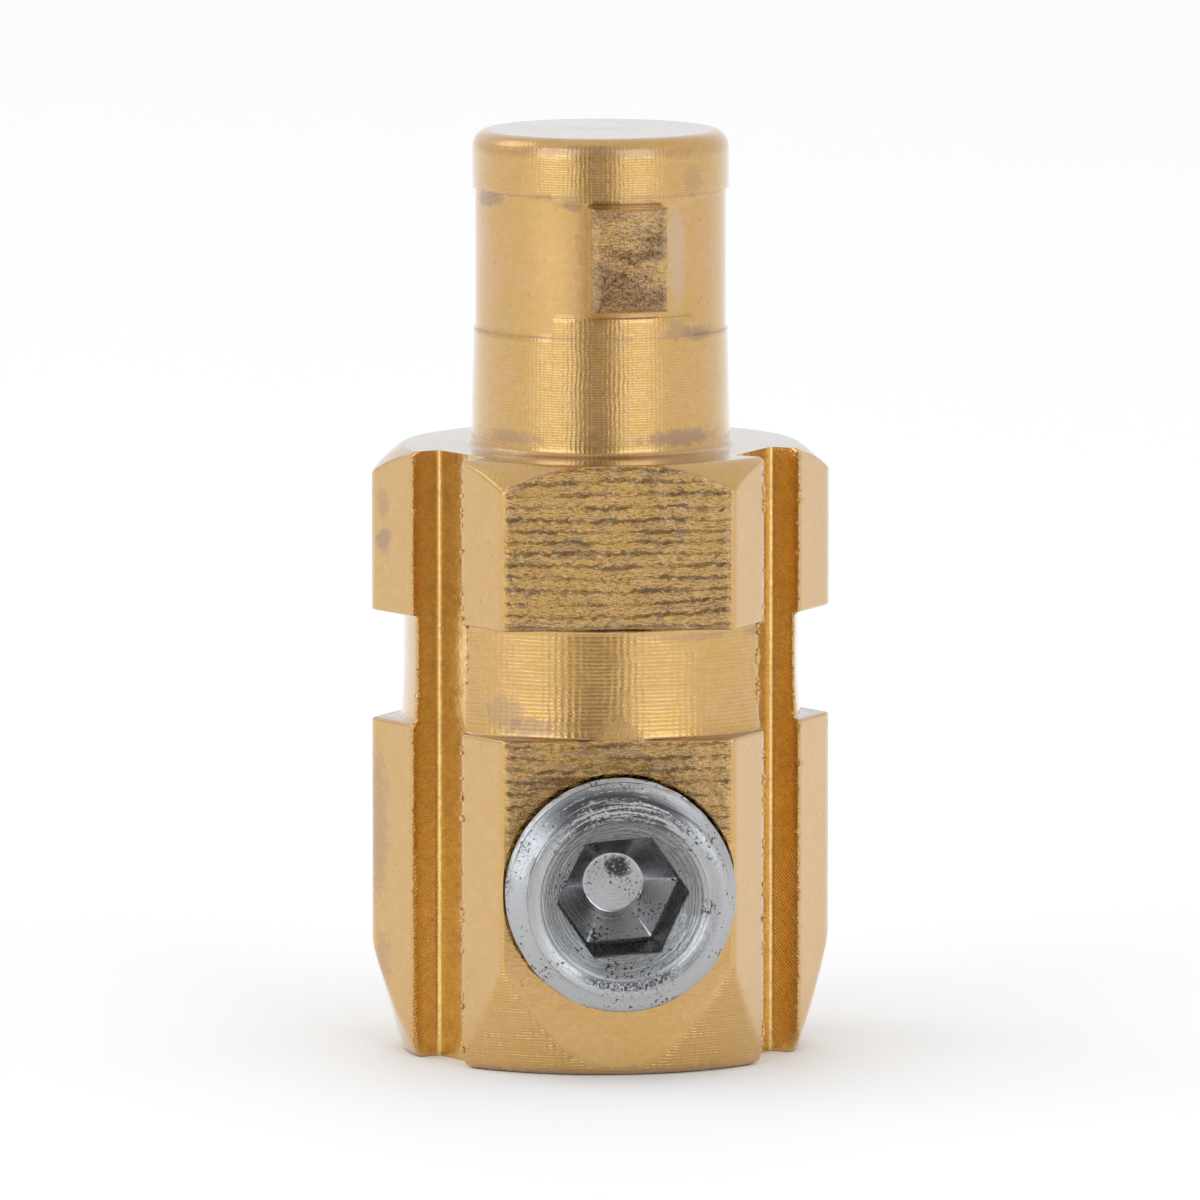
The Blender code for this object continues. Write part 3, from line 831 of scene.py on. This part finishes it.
def brass(name, groups, turned_mask, stains_and_reflections, spacing, tears, depth, keyways=0.0, corner_shading=(), neck=None,
          tear_shade_amount=0.9):
    """Brass with lathe lines where it was turned, torn ridges, cloudiness, specks and stained patches, with
    painted light: painted shade in the ridges' creases and in corners, and painted reflections in the
    keyways, on faces that look up and in a few patches.

    turned_mask takes the tree and the position, and gives 0 on drawn flats and 1 on turned faces.
    Each patch is its centre, its sizes, its strength and, where it isn't brown, its colour; most are stained
    patches, and some on the spigot are painted reflections. tears is the pitch, the raggedness and the seed
    of the ridges, spacing and depth those of the lathe lines, in millimetres. keyways is how strongly the
    painted reflection of brass in brass lies in the keyways, and corner_shading the height, width and
    strength of each line of painted shade in a corner. neck, where there is one, gives 1 on a dull milled
    stretch. tear_shade_amount is how strongly painted shade darkens the torn creases.
    """
    material, t, shader = new_material(name)
    p = millimetre_position(t)
    grain = t.group(groups["grain"], Position=p)
    turned = turned_mask(t, p)
    milled = neck(t, p) if neck else 0.0
    turned = t.times(turned, t.less(1.0, milled))
    lines = t.group(groups["lines"], Position=p, Spacing=spacing)
    torn = t.add("ShaderNodeAttribute", attribute_name="torn").outputs["Fac"]
    ridges = t.group(groups["torn"], Position=p, Pitch=tears[0], Ragged=tears[1], Seed=tears[2])
    tear_and_shade = t.times(ridges["Tear And Shade"], torn)

    colour = t.blend(t.times(grain["Cloud"], 0.7), BRASS, BRASS_YELLOW)
    colour = t.over(colour, BRASS_PALE, grain["Mottle"], 0.45)
    keyway = keyway_mask(t, p) if keyways else 0.0
    if keyways:
        # painted reflection: a bright orange down in the keyways, standing for the light that brass throws on
        # brass there
        colour = t.over(colour, BRASS_KEYWAY_REFLECTION, keyway, keyways)
        soot = t.noise(t.vector("MULTIPLY", p, (1.0, 1.0, 0.8)), 1.6, 5.0, 0.75)
        colour = t.over(colour, BRASS_STAIN_AND_SHADE, t.span(soot, 0.48, 0.7, 0.0, 0.4), keyway)
    colour = t.blend(t.span(grain["Skin"], 0.62, 0.4, 0.0, 0.3), colour, BRASS_DEEP)
    colour = t.over(colour, BRASS_STAIN_AND_SHADE, grain["Speck"], 0.7)
    dirty = t.times(grain["Speck"], 0.15)
    # stained patches, and on the spigot two painted reflections: a pale patch beside the key and a brown band
    # over the tip's rounding
    for centre, size, amount, *tint in stains_and_reflections:
        patch = t.group(groups["ragged_patch"], Position=p, Centre=centre, Size=size)["Mask"]
        colour = t.over(colour, tint[0] if tint else BRASS_STAIN_AND_SHADE, patch, amount)
        dirty = t.times_plus(patch, 0.25 * amount, dirty)
    # painted shade: a broken brown line in the corner at each listed height, kept out of the keyways; it also
    # roughens them a little
    for height, width, amount in corner_shading:
        line = t.group(groups["corner_shading"], Position=p, Level=height, Width=width)["Mask"]
        line = t.times(line, t.less(1.0, keyway))
        colour = t.over(colour, BRASS_STAIN_AND_SHADE, line, amount)
        dirty = t.times_plus(line, 0.2 * amount, dirty)
    colour = t.over(colour, BRASS_DEEP, lines["Line"], turned, 0.16)
    # painted shade: the tears darken the creases under each ridge
    colour = t.over(colour, BRASS_TEAR_SHADE, tear_and_shade, tear_shade_amount)
    # painted sheen: faces that look up take a greyer brass tint, standing for the pale glancing reflection
    # they show
    facing = t.split(t.add("ShaderNodeTexCoord").outputs["Normal"])[2]
    colour = t.blend(t.span(facing, 0.93, 0.99), colour, BRASS_PAINTED_TOP_SHEEN)
    t.put(colour, shader["Base Color"])
    shader["Metallic"].default_value = 1.0
    for setting, value in BRASS_COAT:
        shader["Coat " + setting].default_value = value
    rough = t.times_plus(grain["Cloud"], 0.06, 0.16)
    rough = t.times_plus(grain["Mottle"], 0.06, rough)
    rough = t.times_plus(tear_and_shade, 0.3, rough)
    rough = t.times_plus(milled, 0.2, rough)
    t.put(t.plus(rough, dirty), shader["Roughness"])
    normal = bumped(t, grain["Scratch"], 0.006, 0.6)
    normal = bumped(t, grain["Skin"], 0.02, 0.7, normal)
    normal = bumped(t, t.times(lines["Height"], turned), depth, 1.0, normal)
    rough_skin = t.times(t.less(ridges["Height"], ridges["Tear And Shade"]), torn)
    t.put(bumped(t, rough_skin, 0.09, 1.0, normal), shader["Normal"])
    return material


STEEL = (0.425, 0.425, 0.427, 1.0)
STEEL_GROOVED = (0.27, 0.27, 0.27, 1.0)
STEEL_DARK = (0.035, 0.035, 0.038, 1.0)
DARK_ARCS_MIDDLE, DARK_ARCS_HALF = math.radians(92), math.radians(58)


def steel(groups):
    """Bright zinc plating on steel: marks round the axis, dark arcs on the face's upper part, dull pits and
    fine specks.
    """
    material, t, shader = new_material("plated_steel_marked")
    p = millimetre_position(t)
    x, y, z = t.split(p)
    up = t.less(z, SCREW_Z)
    radius = t.vector("LENGTH", t.join(x, 0.0, up))
    turn = t.math("ARCTAN2", up, x)
    along = t.times(turn, 0.7)
    marks = t.noise(t.join(t.times(radius, 13.0), t.times(y, 9.0), along), 1.0, 5.0, 0.75)
    patch = t.noise(p, 0.8, 2.0, 0.5)
    speck = t.times_plus(patch, 0.5, t.noise(p, 7.5, 4.0, 0.7))
    speck = t.span(speck, 0.87, 0.93)
    deep = t.span(radius, SOCKET_FLAT + 0.4, SOCKET_FLAT + 0.2)
    deep = t.times(deep, t.span(y, -SCREW_FACE + 0.9, -SCREW_FACE + 1.3))

    def rounds(across, round_it, detail, roughness):
        """Noise drawn out round the axis, from its scales across and round."""
        place = t.join(t.times(radius, across), t.times(turn, round_it), 0.0)
        return t.noise(place, 1.0, detail, roughness)

    # dark arcs of streaks and crumbs across the upper part of the face, inside a window round the top
    window = t.span(t.distance(turn, DARK_ARCS_MIDDLE), DARK_ARCS_HALF, DARK_ARCS_HALF * 0.45)
    window = t.times(window, t.span(radius, 2.55, 2.9))
    streak = rounds(7.0, 1.7, 5.0, 0.7)
    crumb = t.noise(p, 9.0, 3.0, 0.7)
    dark_arcs = t.plus(t.times(streak, 0.7), t.times(crumb, 0.3))
    rim = t.times(t.span(radius, 3.3, 3.6), 0.06)
    dark_arcs = t.times(t.span(t.plus(dark_arcs, rim), 0.48, 0.545), window)
    dark_arcs = t.times(dark_arcs, t.span(y, -SCREW_FACE + 1.0, -SCREW_FACE + 0.6))
    # a dark crust low down, just outside the socket's lip
    low_window = t.span(t.distance(turn, -1.5), 0.75, 0.35)
    crust = t.times(t.span(crumb, 0.42, 0.55), low_window, t.span(t.distance(radius, 3.05), 0.22, 0.08))
    blot = t.group(groups["ragged_patch"], Position=p, Centre=(0.12, -4.8, SCREW_Z + 0.55), Size=(0.62, 1.2, 0.5))
    blot = t.times(blot["Mask"], t.span(crumb, 0.38, 0.5))
    dark = t.times(t.larger(t.larger(speck, dark_arcs), t.larger(crust, blot)), 0.9)
    lead_in = t.times(t.span(radius, LIP_R, LIP_R - 0.12), t.span(y, -SCREW_FACE + 1.3, -SCREW_FACE + 0.9))
    groove = rounds(11.0, 0.9, 4.0, 0.8)
    lead_in = t.times(lead_in, t.span(groove, 0.35, 0.6, 0.35, 1.0))
    colour = t.blend(lead_in, STEEL, STEEL_GROOVED)
    t.put(t.blend(dark, colour, STEEL_DARK), shader["Base Color"])
    shader["Metallic"].default_value = 1.0
    rough = t.times_plus(deep, -0.01, 0.1)
    t.put(t.times_plus(dark, 0.3, rough), shader["Roughness"])
    relief = t.times_plus(lead_in, groove, marks)
    relief = t.times(relief, t.times_plus(deep, -0.75, 1.0))
    normal = bumped(t, relief, 0.022, 0.9)
    t.put(bumped(t, t.times(dark, -1.0), 0.02, 0.8, normal), shader["Normal"])
    return material


def turned_everywhere(t, p):
    return 1.0


def never_turned(t, p):
    return 0.0


def keyway_mask(t, p):
    """1 down in the keyways, where the metal only sees itself; 0 on the skin."""
    mask = 0.0
    z = t.split(p)[2]
    for direction in SLOT_SIDES:
        a = math.radians(direction)
        out = t.vector("DOT_PRODUCT", p, (math.cos(a), math.sin(a), 0.0))
        side = t.math("ABSOLUTE", t.vector("DOT_PRODUCT", p, (-math.sin(a), math.cos(a), 0.0)))
        low = t.span(out, FLAT - 0.1, FLAT - 0.5)
        between = t.span(side, SLOT_HALF + 0.06, SLOT_HALF - 0.04)
        under_top = t.span(z, BODY_TOP + 0.02, BODY_TOP - 0.02)
        mask = t.larger(mask, t.times(low, between, t.span(out, 5.2, 5.6), under_top))
    return mask


def turned_on_body(t, p):
    """1 on cone, waist and shoulder, which lie inside the hexagon's flats; 0 on the flats."""
    depth = 0.0
    for across in np.radians([90, 150, 210]).tolist():
        off = t.vector("DOT_PRODUCT", p, (math.cos(across), math.sin(across), 0.0))
        depth = t.larger(depth, t.math("ABSOLUTE", off))
    inside = t.span(depth, FLAT - 0.006, FLAT - 0.03)
    fainter_above_cone = t.span(t.split(p)[2], 8.0, 6.0, 0.35, 1.0)
    return t.times(inside, t.less(1.0, keyway_mask(t, p)), fainter_above_cone)


def milled_neck(t, p):
    """1 on the neck, which the key's cutter left dull; 0 on the turned ring and collar."""
    x, y, z = t.split(p)
    turn = t.math("ARCTAN2", y, x)
    beside = t.span(t.distance(turn, KEY_DIRECTION), STEP_HALF, STEP_HALF - 0.01)
    low = t.times_plus(beside, NECK_STEP_LOW, NECK_LOW)
    high = t.times_plus(beside, -NECK_STEP_HIGH, NECK_HIGH)
    return t.times(t.math("GREATER_THAN", z, low), t.math("LESS_THAN", z, high))


TORN_HALF, TORN_BELOW_WAIST = 3.98, (6.5, 10.6)
FACE_TEARS = (0.42, 0.55, 3.0)
KEY_TEARS = (0.22, 0.9, 5.0)
BODY_STAINS = (
    ((-7.71, -0.64, 18.1), (0.5, 0.7, 0.62), 0.8),
    ((-7.71, -0.64, 19.4), (0.4, 0.5, 0.7), 0.5),
    ((-7.8, -0.3, 8.0), (0.6, 0.9, 3.6), 0.5),
    ((-7.5, -0.3, 3.2), (0.8, 0.9, 1.4), 0.45),
    ((-3.9, -5.9, 12.6), (1.1, 1.1, 0.9), 0.6),
    ((-3.0, -6.3, 12.2), (1.6, 0.9, 0.45), 0.6),
    ((2.6, -6.4, 15.3), (2.6, 0.9, 0.2), 0.5),
    ((5.2, -4.8, 15.35), (0.8, 0.9, 0.25), 0.6),
    ((5.3, -4.6, 4.1), (0.5, 0.5, 0.5), 0.5),
    ((0.0, -6.6, 0.1), (6.5, 3.0, 0.28), 0.5),
)
# painted shade lines in the corners at the waist's top and foot
BODY_CORNER_SHADE = ((WAIST_TOP + 0.02, 0.1, 0.55), (WAIST_LOW, 0.1, 0.45))
SPIGOT_STAINS_AND_REFLECTIONS = (
    # painted reflection: a pale patch on the neck right of the key, standing for the white it reflects there;
    # it is also made a little rougher
    ((2.36, -3.71, 28.35), (0.5, 0.5, 2.6), 0.6, BRASS_PALE_REFLECTION),
    ((-4.11, -1.58, 30.25), (1.3, 1.3, 0.4), 0.75),
    ((2.64, -3.70, 22.0), (2.2, 1.8, 0.42), 0.8),
    ((-3.3, -3.1, 22.0), (1.5, 1.5, 0.33), 0.55),
    ((3.18, -3.14, 25.6), (1.2, 1.2, 0.4), 0.65),
    ((2.4, -3.8, 25.75), (0.9, 0.9, 0.4), 0.65),
    ((2.9, -3.4, 31.0), (0.7, 0.7, 0.6), 0.4),
    ((-1.4, -4.3, 30.2), (0.5, 0.5, 0.3), 0.6),
    # painted reflection: a brown band across the front of the tip's rounding, standing for the dark it
    # reflects
    ((-0.4, -4.4, 32.05), (4.6, 3.5, 0.26), 0.6),
)
# painted shade lines in the corners at the neck's ends and the collar's foot
SPIGOT_CORNER_SHADE = (
    (NECK_LOW, 0.1, 0.6), (NECK_HIGH, 0.12, 0.6), (BODY_TOP + 0.12, 0.14, 0.5),
)


# ---- build the pieces
def build():
    groups = {
        "grain": grain_group(), "lines": turned_lines_group(), "ragged_patch": ragged_patch_group(),
        "torn": torn_metal_group("ShaderNodeTree"), "corner_shading": corner_shade_line_group(),
    }
    body_brass = brass(
        "turned_brass_body", groups, turned_on_body, BODY_STAINS, 0.135, FACE_TEARS, 0.02, 0.85, BODY_CORNER_SHADE,
    )
    spigot_brass = brass(
        "turned_brass_spigot", groups, turned_everywhere, SPIGOT_STAINS_AND_REFLECTIONS, 0.09, FACE_TEARS, 0.0045,
        corner_shading=SPIGOT_CORNER_SHADE, neck=milled_neck,
    )
    key_brass = brass("torn_brass_key", groups, never_turned, (), 0.1, KEY_TEARS, 0.01, tear_shade_amount=0.42)
    burr_brass = brass("burred_brass", groups, never_turned, (), 0.1, FACE_TEARS, 0.01)
    plated = steel(groups)
    thread = thread_tree()
    torn_face = torn_face_tree(torn_metal_group("GeometryNodeTree"))

    body = skin_mesh("contact_body_metal", body_rings())
    face_outwards(body)
    tool = skin_mesh("hole_tool", hole_rings())
    cut_thread(tool, thread, SCREW_R + HOLE_CLEARANCE, 0.2, FLAT, body_brass)
    face_outwards(tool)
    cut = body.modifiers.new("tapped_hole", "BOOLEAN")
    cut.operation, cut.solver, cut.object = "DIFFERENCE", "EXACT", tool
    body.data = bpy.data.meshes.new_from_object(body.evaluated_get(bpy.context.evaluated_depsgraph_get()))
    body.modifiers.clear()
    bpy.data.objects.remove(tool)
    front = (-FLAT + 0.05, 0.0, TORN_HALF)
    tear_face(body, torn_face, body_brass, FACE_TEARS, front, (WAIST_TOP, WAIST_TOP + 0.2, BODY_TOP), 0.1)
    tear_face(body, torn_face, body_brass, FACE_TEARS, front, (*TORN_BELOW_WAIST, WAIST_LOW), 0.085)
    shade(body, 48)

    spigot = skin_mesh("spigot_metal", spigot_rings())
    face_outwards(spigot)
    spigot.data.materials.append(spigot_brass)
    shade(spigot, 40)

    key = skin_mesh("bayonet_key_metal", key_rings())
    face_outwards(key)
    heights = (KEY_LOW, KEY_LOW + 0.12, KEY_HIGH)
    tear_face(key, torn_face, key_brass, KEY_TEARS, (-4.3, 0.62, 1.6), heights, 0.11)
    shade(key, 48)

    burrs = run_nodes(lip_lines(), burr_tree(), {
        "Material": burr_brass, "Thin": 0.02 * MM, "Thick": 0.14 * MM, "Step": 0.05 * MM,
        "Wander": 0.2 * MM, "Reach": (FLAT - 0.002) * MM, "Seed": 2.0,
    })
    face_outwards(burrs)
    shade(burrs, 60)

    screw = skin_mesh("clamp_screw_metal", screw_rings())
    face_outwards(screw)
    cut_thread(screw, thread, SCREW_R, SCREW_TIP - THREAD_FADE, SCREW_FACE + THREAD_FADE, plated)
    shade(screw, 40)

    for piece in (body, spigot, key, burrs):
        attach(piece, "insert")
        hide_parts("contact_body")
    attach(screw, "screw")
    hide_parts("clamp_screw")


# ---- floor, light and camera
COOL_WHITE, LIGHT_DISTANCE = (0.78, 0.885, 1.0), 0.7
WHITE, PALE_BOARD, OPEN_SIDE = (1.0, 1.0, 1.0, 1.0), (0.92, 0.92, 0.92, 1.0), (0.48, 0.435, 0.42, 1.0)


def stand(thing, aim, azimuth, elevation, distance):
    """Stands a thing so many metres from its aim, looking at it; azimuth 0 is in front, 90 to the right."""
    a, e = math.radians(azimuth), math.radians(elevation)
    away = Vector((math.sin(a) * math.cos(e), -math.cos(a) * math.cos(e), math.sin(e)))
    thing.location = aim + away * distance
    thing.rotation_euler = away.to_track_quat("Z", "Y").to_euler()


def soft_box(name, azimuth, elevation, width, height, power):
    """A cool area light that looks at the insert's middle."""
    light = bpy.data.lights.new(name, "AREA")
    light.shape, light.size, light.size_y, light.energy = "RECTANGLE", width, height, power
    light.color = COOL_WHITE
    stand(linked(name, light), Vector((0, 0, (BOTTOM + 16) * MM)), azimuth, elevation, LIGHT_DISTANCE)


GAP_MIDDLE = math.radians(-8.6)
GAP_HALF, GAP_EDGE = math.radians(16), math.radians(6)


def open_side(t, x, y):
    """1 towards the tent's open side, 0 towards its white walls."""
    bearing = t.math("ARCTAN2", x, t.times(y, -1.0))
    off = t.distance(bearing, GAP_MIDDLE)
    return t.span(off, GAP_HALF + GAP_EDGE, GAP_HALF - GAP_EDGE)


def white_board():
    """The pale floor; in reflections it falls off towards the tent's open side."""
    material, t, shader = new_material("white_board")
    x, y, _ = t.split(t.add("ShaderNodeNewGeometry").outputs["Position"])
    away = t.span(t.times(y, -1.0), 0.03, 0.07)
    glossy = t.add("ShaderNodeLightPath").outputs["Is Glossy Ray"]
    board = t.blend(glossy, PALE_BOARD, WHITE)
    dim = t.times(open_side(t, x, y), away, glossy)
    t.put(t.blend(dim, board, OPEN_SIDE), shader["Base Color"])
    shader["Roughness"].default_value = 0.7
    return material


def white_tent():
    """Soft white all round, dim at the open side for reflections only."""
    world = bpy.data.worlds.new("white_tent")
    world.use_nodes = True
    t = Tree(world.node_tree)
    x, y, z = t.split(t.add("ShaderNodeTexCoord").outputs["Generated"])
    low = t.span(z, 0.98, 0.9)
    glossy = t.add("ShaderNodeLightPath").outputs["Is Glossy Ray"]
    dim = t.times_plus(t.times(open_side(t, x, y), low), 0.56, 0.08)
    background = world.node_tree.nodes["Background"].inputs
    t.put(t.less(1.0, t.times(dim, glossy)), background["Strength"])
    background["Color"].default_value = WHITE
    return world


def studio():
    scene = bpy.context.scene
    floor = bpy.data.meshes.new("floor")
    half, level = 3.0, BOTTOM * MM - 0.00002
    corner_points = [(-half, -half, level), (half, -half, level), (half, half, level), (-half, half, level)]
    floor.from_pydata(corner_points, [], [(0, 1, 2, 3)])
    floor.materials.append(white_board())
    linked("floor", floor)
    scene.world = white_tent()
    scene.view_settings.view_transform = "Standard"

    soft_box("soft_box_left", -47, 22, 0.43, 0.5, 1.05)
    soft_box("soft_box_right", 29, 22, 0.40, 0.5, 0.9)
    soft_box("soft_box_rim", -112, 40, 0.34, 0.34, 0.35)

    camera = bpy.data.cameras.new("camera")
    camera.lens, camera.sensor_width, camera.clip_start = 450, 36, 0.01
    scene.camera = linked("camera", camera)
    azimuth, elevation, distance = -5.1, 6.9, 0.528
    stand(scene.camera, Vector((-0.00002, 0, (BOTTOM + 15.85) * MM)), azimuth, elevation, distance)


build()
studio()
